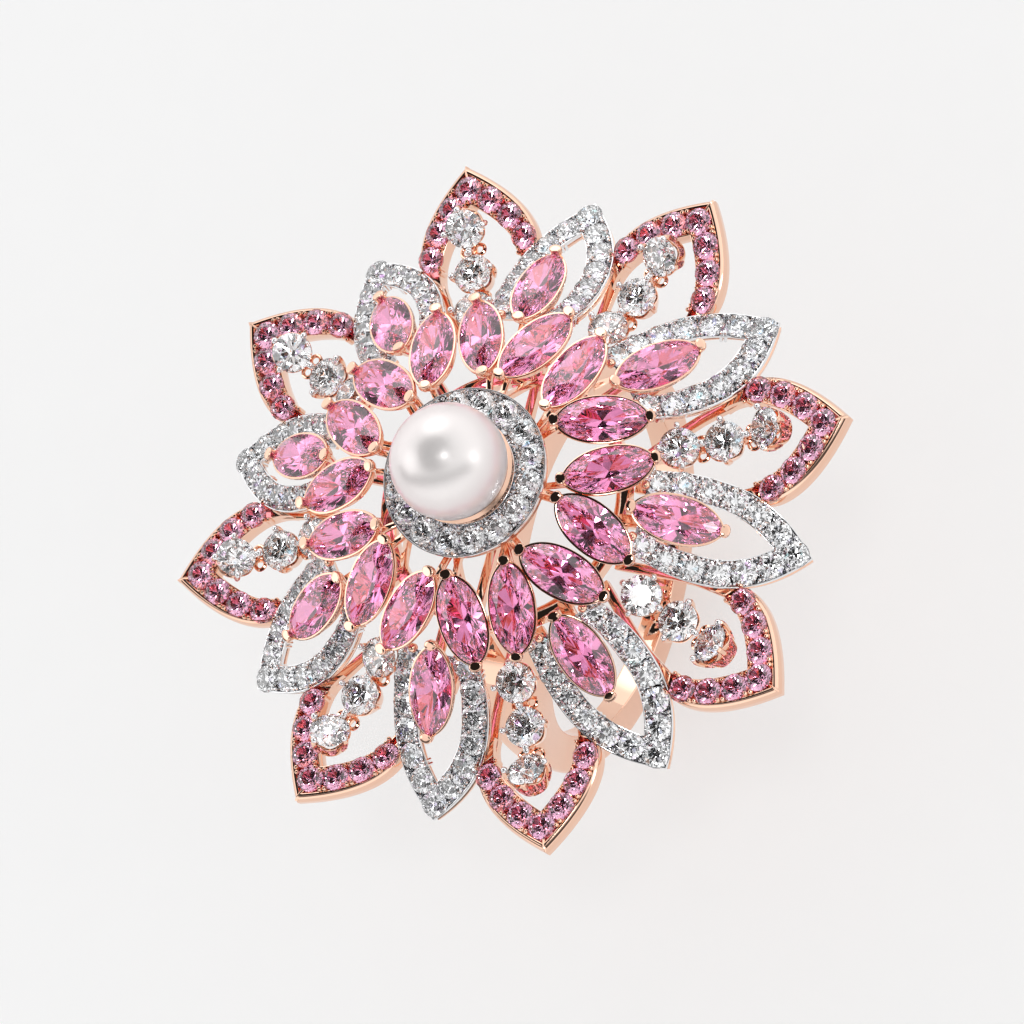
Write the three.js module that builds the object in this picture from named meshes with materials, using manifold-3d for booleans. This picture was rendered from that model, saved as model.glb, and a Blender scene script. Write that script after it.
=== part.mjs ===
// Flower cocktail ring: a domed head of eight white and eight rose petals on a plain band.
// Millimetres. The origin is the centre of the finger hole, +Y runs along the finger and
// +Z rises through the middle of the flower. Every petal is drawn along +X and then turned.
import * as THREE from "three";
import { mergeVertices } from "three/addons/utils/BufferGeometryUtils.js";
import { ConvexGeometry } from "three/addons/geometries/ConvexGeometry.js";
import Module from "manifold-3d";

const wasm = await Module();
wasm.setup();

// Driving dimensions.
const petalCount = 8;
const petalStep = (2 * Math.PI) / petalCount;
const slack = 0.06; // clearance left where two pieces meet

const fingerRadius = 8.65;
const bandThickness = 1.93;
const bandHalfWidth = 0.68; // at the palm side
const shoulderHalfWidth = 2.25; // under the flower
const flareStart = -2; // height where the band begins to widen
const flareEnd = 9;
const bridgeHalfWidth = 0.45; // narrow strip over the finger, between the shoulders
const bridgeStart = 50; // degrees from the top where the shoulders begin to narrow
const bridgeEnd = 34;

const pearlRadius = 2.786;
const pearlHeight = 18.27;
const pegRadius = 0.4;
const pegIntoPearl = 0.6; // how far below the pearl's middle the peg stops
const cupWall = 0.2;
const cupRimHeight = 16.95;
const cupHoleAngle = 0.1; // radians from the bottom of the bowl, hidden by the peg
const haloInner = 2.8;
const haloOuter = 4.13;
const haloTop = 16.47;
const haloDepth = 0.72;
const haloTopBevel = 0.12;
const haloBottomBevel = 0.2;

const navette = {
  halfLength: 2.1,
  halfWidth: 1.07,
  table: 0.56, // the table's share of the outline
  crown: 0.34,
  girdle: 0.08,
  pavilion: 0.88,
  keel: 0.4, // half the keel line under the stone, as a share of the half length
};
const innerTips = { near: [4.92, 4.98, 16.3], far: [9.03, 15.95, 14.95] }; // radius, degrees, height
const outerTips = { near: [8.08, 0, 15.0], far: [12.1, 0, 12.98] };
const clawRadius = 0.2;
const clawReach = 0.24; // claw centre past the stone's point
const clawTop = 0.3; // above the girdle
const nearLeg = 0.9; // how far the crown's inner claws run down
const shortLeg = 0.74;
const railDrop = [0.38, 0.76]; // the rail's top and bottom below the girdle
const railWall = 0.27;
const railReach = [0.12, 0.02]; // the rail's outline past the stone's, along and across
const collar = { inner: 3.7, outer: 4.1, bottom: 15.1, top: 15.6 }; // under the halo
const stemWidth = 0.3;
const stemEnds = { from: [3.9, 3.2, 15.35], to: [4.62, 3.3, 15.48] }; // radius, degrees, height

const whiteThickness = 0.9;
const seatBar = { width: 0.3, from: [0.88, 0.18], to: [1.6, -0.3] }; // across and over the petal
const pinkThickness = 0.95;
const wireThickness = 0.42;
const wireBottom = 10.15;
const wireBend = [12.95, 13.25]; // radii between which the petal steps down to its wires
const roundRadius = 0.9; // the three round stones of a rose petal
const headDepth = 1.15;
const prong = { width: 0.26, length: 1.25, out: 0.16, middle: -0.38 };
const headRail = { inner: [0.56, 0.68], wall: 0.3, top: -0.62 };
const headLink = 0.36;
// radius, height and lean (degrees towards the middle) of each head
const heads = [
  [9.52, 12.95, -20],
  [11.53, 12.33, -4],
  [13.68, 12.75, 30],
];

const galleryRadius = 6.1;
const galleryWidth = 0.7;
const galleryBottom = 10.95;
const galleryDepth = 0.75;
const hub = { inner: 3, outer: 3.5, bottom: 14.8, top: 15.3 };
const foot = { width: 0.7, from: [5.85, 11.5], to: [7.35, 8.15], side: 0.95 }; // X and Z of its ends, Y
const crossBar = [0.5, 0.84]; // width and depth of the bar through the middle
const arm = { width: 0.6, end: 9.6, below: 0.45 };
const spoke = { width: 0.42, end: [3.3, 15.05] };
const galleryJoint = 0.3; // below the gallery's top, where arms and spokes leave it

// Finishes.
const roseGold = new THREE.MeshStandardMaterial({ color: 0xe3ab8b, roughness: 0.16, metalness: 1 });
const whiteGold = new THREE.MeshStandardMaterial({ color: 0xdcdcde, roughness: 0.14, metalness: 1 });
const pearlLustre = new THREE.MeshStandardMaterial({ color: 0xf1e4e2, roughness: 0.25, metalness: 0 });
const pinkStone = new THREE.MeshStandardMaterial({ color: 0xee8ec4, roughness: 0.05, metalness: 0 });

const ring = new THREE.Group();
ring.name = "flower_cocktail_ring";

// Helpers.
function solid(geometry) {
  const bare = geometry.clone();
  bare.deleteAttribute("normal");
  bare.deleteAttribute("uv");
  const merged = mergeVertices(bare, 1e-4);
  return new wasm.Manifold(
    new wasm.Mesh({
      numProp: 3,
      vertProperties: new Float32Array(merged.attributes.position.array),
      triVerts: new Uint32Array(merged.index.array),
    }),
  );
}

function shell(body) {
  const mesh = body.getMesh();
  const geometry = new THREE.BufferGeometry();
  geometry.setAttribute("position", new THREE.BufferAttribute(new Float32Array(mesh.vertProperties), 3));
  geometry.setIndex(new THREE.BufferAttribute(new Uint32Array(mesh.triVerts), 1));
  geometry.computeVertexNormals();
  return geometry;
}

const join = (bodies) => bodies.reduce((sum, body) => sum.add(body));

function addPiece(name, body, material, turn = 0) {
  const mesh = new THREE.Mesh(shell(body), material);
  mesh.name = name;
  mesh.rotation.z = turn;
  ring.add(mesh);
}

// Ring of rectangular or shaped section round Z: points are [radius, height], closed on themselves.
function turned(points, segments) {
  const profile = points.map(([radius, height]) => new THREE.Vector2(radius, height));
  profile.push(profile[0].clone());
  const geometry = new THREE.LatheGeometry(profile, segments);
  geometry.rotateX(Math.PI / 2);
  return solid(geometry);
}

// Straight bar of square section between two points.
function bar(from, to, width, depth = width) {
  const start = new THREE.Vector3(...from);
  const end = new THREE.Vector3(...to);
  const geometry = new THREE.BoxGeometry(width, depth, start.distanceTo(end));
  geometry.applyMatrix4(new THREE.Matrix4().lookAt(end, start, new THREE.Vector3(0, 0, 1)));
  const middle = start.add(end).multiplyScalar(0.5);
  geometry.translate(middle.x, middle.y, middle.z);
  return solid(geometry);
}

const polar = ([radius, degrees, height]) =>
  new THREE.Vector3(
    radius * Math.cos(THREE.MathUtils.degToRad(degrees)),
    radius * Math.sin(THREE.MathUtils.degToRad(degrees)),
    height,
  );

// Seat frame of a stone: X from its near point to its far point, Y level, Z out of its table.
function seatFrame(near, far) {
  const along = far.clone().sub(near).normalize();
  const across = new THREE.Vector3(0, 0, 1).cross(along).normalize();
  const up = along.clone().cross(across);
  const middle = near.clone().add(far).multiplyScalar(0.5);
  return new THREE.Matrix4().makeBasis(along, across, up).setPosition(middle);
}

// Pointed oval: two equal arcs that meet at the points.
function pointedOval(halfLength, halfWidth, steps) {
  const arcRadius = (halfLength ** 2 + halfWidth ** 2) / (2 * halfWidth);
  const spread = Math.asin(halfLength / arcRadius);
  const points = [];
  for (const side of [1, -1]) {
    for (let i = 0; i < steps; i++) {
      const angle = spread * (1 - (2 * i) / steps);
      points.push([
        side * arcRadius * Math.sin(angle),
        side * (arcRadius * Math.cos(angle) - arcRadius + halfWidth),
      ]);
    }
  }
  return points;
}

const outline = (points) => points.map(([x, y]) => new THREE.Vector2(x, y));

// Smooth strip of points through a few chosen ones.
const smooth = (points, steps) => new THREE.SplineCurve(outline(points)).getPoints(steps);

// Flat sheet cut to an outline, then raised so its top and bottom follow two heights of radius.
function formedSheet(points, topAt, bottomAt) {
  const geometry = new THREE.ExtrudeGeometry(new THREE.Shape(points), { depth: 1, bevelEnabled: false });
  const place = geometry.attributes.position;
  for (let i = 0; i < place.count; i++) {
    const radius = Math.hypot(place.getX(i), place.getY(i));
    place.setZ(i, place.getZ(i) > 0.5 ? topAt(radius) : bottomAt(radius));
  }
  return solid(geometry);
}

// Band.
function makeShank() {
  const outer = fingerRadius + bandThickness;
  const widest = shoulderHalfWidth + slack;
  const hoop = turned(
    [
      [fingerRadius, -shoulderHalfWidth],
      [outer, -shoulderHalfWidth],
      [outer, shoulderHalfWidth],
      [fingerRadius, shoulderHalfWidth],
    ],
    72,
  ).rotate([90, 0, 0]);
  // The side view across the finger: narrow below, flaring up to the shoulders, then a narrow bridge.
  const heightAt = (fromTop) => ((fingerRadius + outer) / 2) * Math.cos(THREE.MathUtils.degToRad(fromTop));
  const shoulderTop = heightAt(bridgeStart);
  const steps = 10;
  const side = [[-bandHalfWidth, -outer - 1]];
  for (let i = 0; i <= steps; i++) {
    const height = THREE.MathUtils.lerp(flareStart, shoulderTop, i / steps);
    const flare = THREE.MathUtils.smoothstep(height, flareStart, flareEnd);
    side.push([-THREE.MathUtils.lerp(bandHalfWidth, widest, flare), height]);
  }
  const shoulder = -side.at(-1)[0];
  for (let i = 1; i <= steps; i++) {
    const height = THREE.MathUtils.lerp(shoulderTop, heightAt(bridgeEnd), i / steps);
    const narrowing = THREE.MathUtils.smoothstep(i / steps, 0, 1);
    side.push([-THREE.MathUtils.lerp(shoulder, bridgeHalfWidth, narrowing), height]);
  }
  side.push([-bridgeHalfWidth, outer + 1]);
  const mirrored = side.map(([y, z]) => [-y, z]).reverse();
  const cutter = new THREE.ExtrudeGeometry(new THREE.Shape(outline([...side, ...mirrored])), {
    depth: 2 * outer + 2,
    bevelEnabled: false,
  });
  cutter.translate(0, 0, -outer - 1);
  // the outline's first axis becomes Y, its second Z, and its depth X
  cutter.applyMatrix4(
    new THREE.Matrix4().makeBasis(
      new THREE.Vector3(0, 1, 0),
      new THREE.Vector3(0, 0, 1),
      new THREE.Vector3(1, 0, 0),
    ),
  );
  return hoop.intersect(solid(cutter));
}

// Gallery under the flower: a ring, feet to the band, arms to the petals, spokes to a hub under the halo.
// steep beside the crown, flatter towards the tip
const whiteTop = (radius) => 13.98 - 0.687 * (radius - 8.88) + 0.038 * (radius - 8.88) * (radius - 12.2);

const hoopProfile = (inner, outer, bottom, top) => [
  [inner, bottom],
  [outer, bottom],
  [outer, top],
  [inner, top],
];

function makeGallery() {
  const top = galleryBottom + galleryDepth;
  const inner = galleryRadius - galleryWidth / 2;
  const outer = galleryRadius + galleryWidth / 2;
  const bodies = [
    turned(hoopProfile(inner, outer, galleryBottom, top), 40),
    turned(hoopProfile(hub.inner, hub.outer, hub.bottom, hub.top), 24),
  ];
  for (const x of [1, -1]) {
    for (const y of [foot.side, -foot.side]) {
      bodies.push(bar([x * foot.from[0], y, foot.from[1]], [x * foot.to[0], y, foot.to[1]], foot.width));
    }
  }
  const barHeight = galleryBottom + galleryDepth / 2;
  bodies.push(bar([-galleryRadius, 0, barHeight], [galleryRadius, 0, barHeight], ...crossBar));
  const start = [galleryRadius, 0, top - galleryJoint];
  const armHeight = whiteTop(arm.end) - whiteThickness - arm.below;
  for (let i = 0; i < petalCount; i++) {
    const turn = THREE.MathUtils.radToDeg(i * petalStep);
    bodies.push(bar(start, [arm.end, 0, armHeight], arm.width).rotate([0, 0, turn]));
    bodies.push(bar(start, [spoke.end[0], 0, spoke.end[1]], spoke.width).rotate([0, 0, turn]));
  }
  return join(bodies);
}

// Pearl on its peg, in a shallow cup.
function bore(radius, from, to, sides) {
  const geometry = new THREE.CylinderGeometry(radius, radius, to - from, sides);
  geometry.rotateX(Math.PI / 2);
  geometry.translate(0, 0, (from + to) / 2);
  return solid(geometry);
}

function makePearl() {
  const ball = new THREE.SphereGeometry(pearlRadius, 20, 13);
  ball.rotateX(Math.PI / 2);
  ball.translate(0, 0, pearlHeight);
  return solid(ball).subtract(bore(pegRadius + slack, pearlHeight - 2 * pearlRadius, pearlHeight, 10));
}

function makePearlCup() {
  const inside = pearlRadius + slack;
  const outside = inside + cupWall;
  const rimAngle = Math.acos((pearlHeight - cupRimHeight) / inside);
  const steps = 4;
  const wall = [];
  for (let i = 0; i <= steps; i++) {
    const angle = THREE.MathUtils.lerp(cupHoleAngle, rimAngle, i / steps);
    wall.push([outside * Math.sin(angle), pearlHeight - outside * Math.cos(angle)]);
  }
  for (let i = steps; i >= 0; i--) {
    const angle = THREE.MathUtils.lerp(cupHoleAngle, rimAngle, i / steps);
    wall.push([inside * Math.sin(angle), pearlHeight - inside * Math.cos(angle)]);
  }
  const bowl = turned(wall, 20);
  const peg = bore(pegRadius, galleryBottom + galleryDepth + slack, pearlHeight - pegIntoPearl, 10);
  return bowl.add(peg);
}

// Halo round the pearl, with a rounded outer rim.
function makeHalo() {
  const low = haloTop - haloDepth;
  return turned(
    [
      [haloInner, low],
      [haloOuter - haloBottomBevel, low],
      [haloOuter, low + haloBottomBevel],
      [haloOuter, haloTop - haloTopBevel],
      [haloOuter - haloTopBevel, haloTop],
      [haloInner, haloTop],
    ],
    40,
  );
}

// Navette stones and their settings.
function makeNavette(frame) {
  const { halfLength, halfWidth, table, crown, girdle, pavilion, keel } = navette;
  const points = [];
  const level = (share, height, steps) => {
    for (const [x, y] of pointedOval(halfLength * share, halfWidth * share, steps)) {
      points.push(new THREE.Vector3(x, y, height));
    }
  };
  level(table, crown, 4);
  level(1, 0, 6);
  level(1, -girdle, 6);
  for (const x of [-keel, keel]) points.push(new THREE.Vector3(x * halfLength, 0, -pavilion));
  const geometry = new ConvexGeometry(points);
  geometry.applyMatrix4(frame);
  return solid(geometry);
}

// Open rail under the girdle and a claw at each point; the near claw can run on down as a leg.
function makeNavetteSeat(frame, firstLeg, secondLeg) {
  const { halfLength, halfWidth } = navette;
  const [top, bottom] = railDrop;
  const [along, across] = railReach;
  const rim = new THREE.Shape(outline(pointedOval(halfLength + along, halfWidth + across, 4)));
  rim.holes.push(
    new THREE.Path(outline(pointedOval(halfLength - 1.2 * railWall, halfWidth - railWall, 4))),
  );
  const rail = new THREE.ExtrudeGeometry(rim, { depth: bottom - top, bevelEnabled: false });
  rail.translate(0, 0, -bottom);
  rail.applyMatrix4(frame);
  const bodies = [solid(rail)];
  for (const [side, leg] of [
    [-1, firstLeg],
    [1, secondLeg],
  ]) {
    const claw = new THREE.CylinderGeometry(clawRadius, clawRadius, leg + clawTop, 5);
    claw.rotateX(Math.PI / 2);
    claw.translate(side * (halfLength + clawReach), 0, (clawTop - leg) / 2);
    claw.applyMatrix4(frame);
    bodies.push(solid(claw));
  }
  return join(bodies);
}

function innerFrame(side, turn) {
  const [near, far] = [innerTips.near, innerTips.far].map(([radius, degrees, height]) =>
    polar([radius, side * degrees, height]),
  );
  return new THREE.Matrix4().makeRotationZ(turn).multiply(seatFrame(near, far));
}

const outerFrame = seatFrame(polar(outerTips.near), polar(outerTips.far));

// Sixteen seats on stems that spring from one collar under the halo.
function makeCrown() {
  const bodies = [turned(hoopProfile(collar.inner, collar.outer, collar.bottom, collar.top), 24)];
  for (let i = 0; i < petalCount; i++) {
    for (const side of [1, -1]) {
      const [from, to] = [stemEnds.from, stemEnds.to].map(([radius, degrees, height]) =>
        polar([radius, side * degrees, height]).toArray(),
      );
      bodies.push(bar(from, to, stemWidth).rotate([0, 0, THREE.MathUtils.radToDeg(i * petalStep)]));
      bodies.push(makeNavetteSeat(innerFrame(side, i * petalStep), nearLeg, shortLeg));
    }
  }
  return join(bodies);
}

const mirror = (points) => points.map(([x, y]) => [x, -y]).reverse();

// White petals: an arrowhead frame with the outer navette's seat inside it.
function makeWhitePetal() {
  const outer = [
    [8.25, 1.8],
    [8.9, 2.22],
    [10.6, 2.5],
    [12.6, 2.12],
    [14.2, 1.33],
    [15.55, 0],
  ];
  const inner = [
    [13.82, 0],
    [12.6, 0.8],
    [11, 1.2],
    [9.3, 1.18],
    [8.35, 0.85],
  ];
  const points = [
    ...smooth(outer, 12),
    ...smooth(mirror(outer), 12).slice(1),
    ...smooth(mirror(inner), 9),
    ...smooth(inner, 9).slice(1),
  ];
  const frame = formedSheet(points, whiteTop, (radius) => whiteTop(radius) - whiteThickness);
  const middle = (outerTips.near[0] + outerTips.far[0]) / 2;
  const bodies = [frame, makeNavetteSeat(outerFrame, shortLeg, shortLeg)];
  const height = whiteTop(middle);
  for (const side of [1, -1]) {
    const at = ([across, over]) => [middle, side * across, height + over];
    bodies.push(bar(at(seatBar.from), at(seatBar.to), seatBar.width));
  }
  return join(bodies);
}

// Rose petals: a wide arrowhead frame that tapers into two wires under the white petals.
const wireShare = (radius) => THREE.MathUtils.smoothstep(radius, ...wireBend);

function pinkTop(radius) {
  const seatTop = 11.25 + 0.11 * (radius - 13.2);
  return THREE.MathUtils.lerp(wireBottom + wireThickness, seatTop, wireShare(radius));
}

const pinkBottom = (radius) =>
  pinkTop(radius) - THREE.MathUtils.lerp(wireThickness, pinkThickness, wireShare(radius));

function makePinkPetal() {
  const outer = [
    [6.1, 0.75],
    [9.6, 2.1],
    [11.8, 2.64],
    [12.6, 2.82],
    [13.2, 3.05],
    [14.4, 2.68],
    [15.8, 1.78],
    [17.49, 0],
  ];
  const inner = [
    [15.45, 0],
    [14.4, 1.12],
    [13.2, 1.85],
    [12.5, 2.12],
    [11.8, 2.14],
    [9.7, 1.65],
    [6.1, 0.27],
  ];
  const points = [
    ...smooth(outer, 18),
    ...smooth(mirror(outer), 18).slice(1),
    ...smooth(mirror(inner), 14),
    ...smooth(inner, 14).slice(1),
  ];
  return formedSheet(points, pinkTop, pinkBottom);
}

// The three linked heads inside a rose petal.
function makeTrioSetting() {
  const bodies = [];
  const feet = [];
  const [low, high] = headRail.inner;
  for (const [radius, height, lean] of heads) {
    const frame = new THREE.Matrix4()
      .makeRotationY(THREE.MathUtils.degToRad(-lean))
      .setPosition(radius, 0, height);
    const wall = outline([
      [low, -headDepth],
      [low + headRail.wall, -headDepth],
      [high + headRail.wall, headRail.top],
      [high, headRail.top],
      [low, -headDepth],
    ]);
    const rail = new THREE.LatheGeometry(wall, 8);
    rail.rotateX(Math.PI / 2);
    rail.applyMatrix4(frame);
    bodies.push(solid(rail));
    for (let i = 0; i < 4; i++) {
      const post = new THREE.BoxGeometry(prong.width, prong.width, prong.length);
      post.translate(roundRadius + prong.out, 0, prong.middle);
      post.rotateZ((i * Math.PI) / 2);
      post.applyMatrix4(frame);
      bodies.push(solid(post));
    }
    feet.push(new THREE.Vector3(0, 0, 0.2 - headDepth).applyMatrix4(frame));
  }
  for (let i = 1; i < feet.length; i++) {
    bodies.push(bar(feet[i - 1].toArray(), feet[i].toArray(), headLink));
  }
  return join(bodies);
}

// Assembly.
addPiece("shank", makeShank(), roseGold);
addPiece("gallery_frame", makeGallery(), roseGold);
addPiece("pearl_cup", makePearlCup(), roseGold);
addPiece("pearl", makePearl(), pearlLustre);
addPiece("halo_ring", makeHalo(), whiteGold);
addPiece("marquise_crown", makeCrown(), roseGold);

const whitePetal = makeWhitePetal();
const pinkPetal = makePinkPetal();
const trioSetting = makeTrioSetting();
const outerNavette = makeNavette(outerFrame);
for (let i = 0; i < petalCount; i++) {
  const turn = i * petalStep;
  const number = i + 1;
  addPiece(`white_petal_${number}`, whitePetal, whiteGold, turn);
  addPiece(`pink_petal_${number}`, pinkPetal, roseGold, turn + petalStep / 2);
  addPiece(`trio_setting_${number}`, trioSetting, roseGold, turn + petalStep / 2);
  addPiece(`outer_marquise_${number}`, outerNavette, pinkStone, turn);
  for (const [place, side] of [1, -1].entries()) {
    addPiece(`inner_marquise_${2 * i + place + 1}`, makeNavette(innerFrame(side, turn)), pinkStone);
  }
}

export default ring;
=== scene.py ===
import math
import bpy
import numpy as np
from mathutils import Matrix, Vector


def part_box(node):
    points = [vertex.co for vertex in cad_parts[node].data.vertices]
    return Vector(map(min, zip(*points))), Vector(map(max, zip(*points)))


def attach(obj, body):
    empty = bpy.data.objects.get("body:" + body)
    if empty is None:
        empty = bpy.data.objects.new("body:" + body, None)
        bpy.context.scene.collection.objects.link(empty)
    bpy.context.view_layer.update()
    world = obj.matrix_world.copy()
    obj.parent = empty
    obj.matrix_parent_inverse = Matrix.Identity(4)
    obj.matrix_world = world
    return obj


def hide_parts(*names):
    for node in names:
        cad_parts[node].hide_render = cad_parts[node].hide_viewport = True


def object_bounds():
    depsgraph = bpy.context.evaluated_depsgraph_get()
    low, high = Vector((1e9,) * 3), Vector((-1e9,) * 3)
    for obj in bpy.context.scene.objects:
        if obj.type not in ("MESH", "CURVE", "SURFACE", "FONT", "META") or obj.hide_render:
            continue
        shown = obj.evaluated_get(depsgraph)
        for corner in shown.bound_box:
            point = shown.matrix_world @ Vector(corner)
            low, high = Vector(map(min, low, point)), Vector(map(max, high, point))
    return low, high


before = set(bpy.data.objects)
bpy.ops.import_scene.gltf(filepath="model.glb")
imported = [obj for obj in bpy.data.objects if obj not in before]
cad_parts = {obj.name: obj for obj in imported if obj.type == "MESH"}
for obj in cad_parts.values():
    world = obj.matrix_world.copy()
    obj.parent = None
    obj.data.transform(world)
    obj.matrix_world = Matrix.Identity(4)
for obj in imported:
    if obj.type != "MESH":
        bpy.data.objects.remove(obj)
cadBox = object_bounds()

mm = 0.001
petalCount = 8
petalTurn = 2 * math.pi / petalCount
beadSquash = 1.2  # beads stand a little taller than a ball
level = np.array([0, 1.0, 0])
upright = np.array([0, 0, 1.0])
print("frame loaded:", len(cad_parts), "nodes")


# arrays
# A part is (points n x 3, faces m x 4) in millimetres; a triangle repeats its last corner.

def gridPart(points, loopRows=False, loopColumns=False):
    # quads between neighbouring rows and columns of a grid, joined round where it loops
    rows, columns = points.shape[:2]
    r, c = np.meshgrid(np.arange(rows if loopRows else rows - 1),
                       np.arange(columns if loopColumns else columns - 1), indexing="ij")
    nextRow, nextColumn = (r + 1) % rows, (c + 1) % columns
    faces = np.stack([r * columns + c, r * columns + nextColumn,
                      nextRow * columns + nextColumn, nextRow * columns + c], axis=-1)
    return points.reshape(-1, 3), faces.reshape(-1, 4)


def joined(parts):
    # one part from several, each one's face numbers moved past the points before it
    starts = np.cumsum([0] + [len(points) for points, faces in parts[:-1]])
    return (np.concatenate([points for points, faces in parts]),
            np.concatenate([faces + start for (points, faces), start in zip(parts, starts)]))


def outward(part):
    # the volume is the sum of corner triple products; a negative one means the faces look in
    points, faces = part
    a, b, c, d = (points[faces[:, i]] for i in range(4))
    volume = np.sum(a * np.cross(b, c)) + np.sum(a * np.cross(c, d))
    return (points, faces[:, ::-1]) if volume < 0 else part


def placed(part, frames):
    # each copy's point = frame rotation times point, plus frame place
    points, faces = part
    frames = np.atleast_3d(np.asarray(frames, float)).reshape(-1, 4, 4)
    world = np.einsum("kij,nj->kni", frames[:, :3, :3], points) + frames[:, None, :3, 3]
    copies = faces[None] + (len(points) * np.arange(len(frames)))[:, None, None]
    if np.linalg.det(frames[0, :3, :3]) < 0:
        copies = copies[:, :, ::-1]
    return world.reshape(-1, 3), copies.reshape(-1, 4)


def welded(part):
    # points on the same spot become one, which closes seams and poles
    points, faces = part
    spots, index = np.unique(np.round(points * 2e4).astype(np.int64), axis=0, return_inverse=True)
    first = np.zeros(len(spots), int)
    first[index.reshape(-1)[::-1]] = np.arange(len(points))[::-1]
    faces = index.reshape(-1)[faces]
    corners = [list(dict.fromkeys(face)) for face in faces.tolist()]
    return points[first], [face for face in corners if len(face) > 2]


def putPiece(name, parts, material, nodes=(), sharp=32, faceted=False):
    points, faces = welded(joined([outward(part) for part in parts]))
    mesh = bpy.data.meshes.new(name)
    mesh.from_pydata((points * mm).tolist(), [], faces)
    mesh.polygons.foreach_set("use_smooth", [not faceted] * len(mesh.polygons))
    if not faceted:
        mesh.set_sharp_from_angle(angle=math.radians(sharp))
    mesh.materials.append(material)
    mesh.update()
    piece = bpy.data.objects.new(name, mesh)
    bpy.context.scene.collection.objects.link(piece)
    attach(piece, "root")
    if nodes:
        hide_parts(*nodes)
    return piece


def turnedZ(angle):
    # rotation about Z
    c, s = math.cos(angle), math.sin(angle)
    return np.array([[c, -s, 0, 0], [s, c, 0, 0], [0, 0, 1, 0], [0, 0, 0, 1]], float)


def unit(v):
    # each vector over its own length
    return v / np.linalg.norm(v, axis=-1, keepdims=True)


def roundedPolygon(corners, radii, steps=4):
    # each corner gives way to points on a quadratic curve that starts and ends at its radius from it
    corners = np.asarray(corners, float)
    radii = np.broadcast_to(radii, len(corners))
    before = unit(np.roll(corners, 1, 0) - corners) * radii[:, None] + corners
    after = unit(np.roll(corners, -1, 0) - corners) * radii[:, None] + corners
    t = np.linspace(0, 1, steps)[None, :, None]
    curve = (1 - t) ** 2 * before[:, None] + 2 * t * (1 - t) * corners[:, None] + t ** 2 * after[:, None]
    return curve.reshape(-1, 2)


def throughPoints(points, count):
    # Catmull-Rom curve through a few chosen points, sampled evenly in its own parameter
    points = np.asarray(points, float)
    ends = np.vstack([2 * points[0] - points[1], points, 2 * points[-1] - points[-2]])
    t = np.linspace(0, len(points) - 1 - 1e-9, count)
    i = t.astype(int)
    f = (t - i)[:, None]
    a, b, c, d = ends[i], ends[i + 1], ends[i + 2], ends[i + 3]
    return 0.5 * (2 * b + (c - a) * f + (2 * a - 5 * b + 4 * c - d) * f ** 2
                  + (3 * b - a - 3 * c + d) * f ** 3)


def sweepPart(path, section, up, scale=None, loop=False):
    # a profile carried along a path: point = path + side times section x + normal times section y
    path = np.asarray(path, float)
    if loop:
        tangent = np.roll(path, -1, 0) - np.roll(path, 1, 0)
    else:
        tangent = np.gradient(path, axis=0)
    tangent = unit(tangent)
    side = unit(np.cross(np.broadcast_to(up, path.shape), tangent))
    normal = np.cross(tangent, side)
    scale = np.ones(len(path)) if scale is None else np.asarray(scale, float)
    rows = (path[:, None] + scale[:, None, None] * (side[:, None] * section[None, :, :1]
                                                    + normal[:, None] * section[None, :, 1:]))
    if not loop:
        ends = np.repeat(path[[0, -1]][:, None], len(section), 1)
        rows = np.concatenate([ends[:1], rows, ends[1:]])
    return gridPart(rows, loopRows=loop, loopColumns=True)


def circle(radius, count):
    # radius times cosine and sine of evenly spaced angles
    angle = np.linspace(0, 2 * math.pi, count, endpoint=False)
    return radius * np.stack([np.cos(angle), np.sin(angle)], -1)


def wirePart(path, radius, up=(0, 0, 1), count=10, loop=False, domed=True):
    # round wire; its ends close in a quarter circle of radius against length
    path = np.asarray(path, float)
    scale = None
    if domed and not loop:
        length = np.concatenate([[0], np.cumsum(np.linalg.norm(np.diff(path, axis=0), axis=1))])
        fromEnd = np.minimum(length, length[-1] - length) / radius
        scale = np.sqrt(np.clip(1 - (1 - np.clip(fromEnd, 0, 1)) ** 2, 0.02, 1))
    return sweepPart(path, circle(radius, count), np.asarray(up, float), scale, loop)


def lathePart(profile, count):
    # a closed radius and height profile turned round Z
    profile = np.asarray(profile, float)
    angle = np.linspace(0, 2 * math.pi, count, endpoint=False)[:, None]
    points = np.stack([profile[None, :, 0] * np.cos(angle), profile[None, :, 0] * np.sin(angle),
                       np.broadcast_to(profile[None, :, 1], (count, len(profile)))], -1)
    return gridPart(points, loopRows=True, loopColumns=True)


def ballPart(radius, rows=8, columns=10, squash=1.0):
    # sphere: radius times cosine and sine of latitude and longitude
    latitude = np.linspace(-math.pi / 2, math.pi / 2, rows)[:, None]
    longitude = np.linspace(0, 2 * math.pi, columns, endpoint=False)[None]
    points = radius * np.stack([np.cos(latitude) * np.cos(longitude), np.cos(latitude) * np.sin(longitude),
                                squash * np.sin(latitude) * np.ones_like(longitude)], -1)
    return gridPart(points, loopColumns=True)


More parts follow.
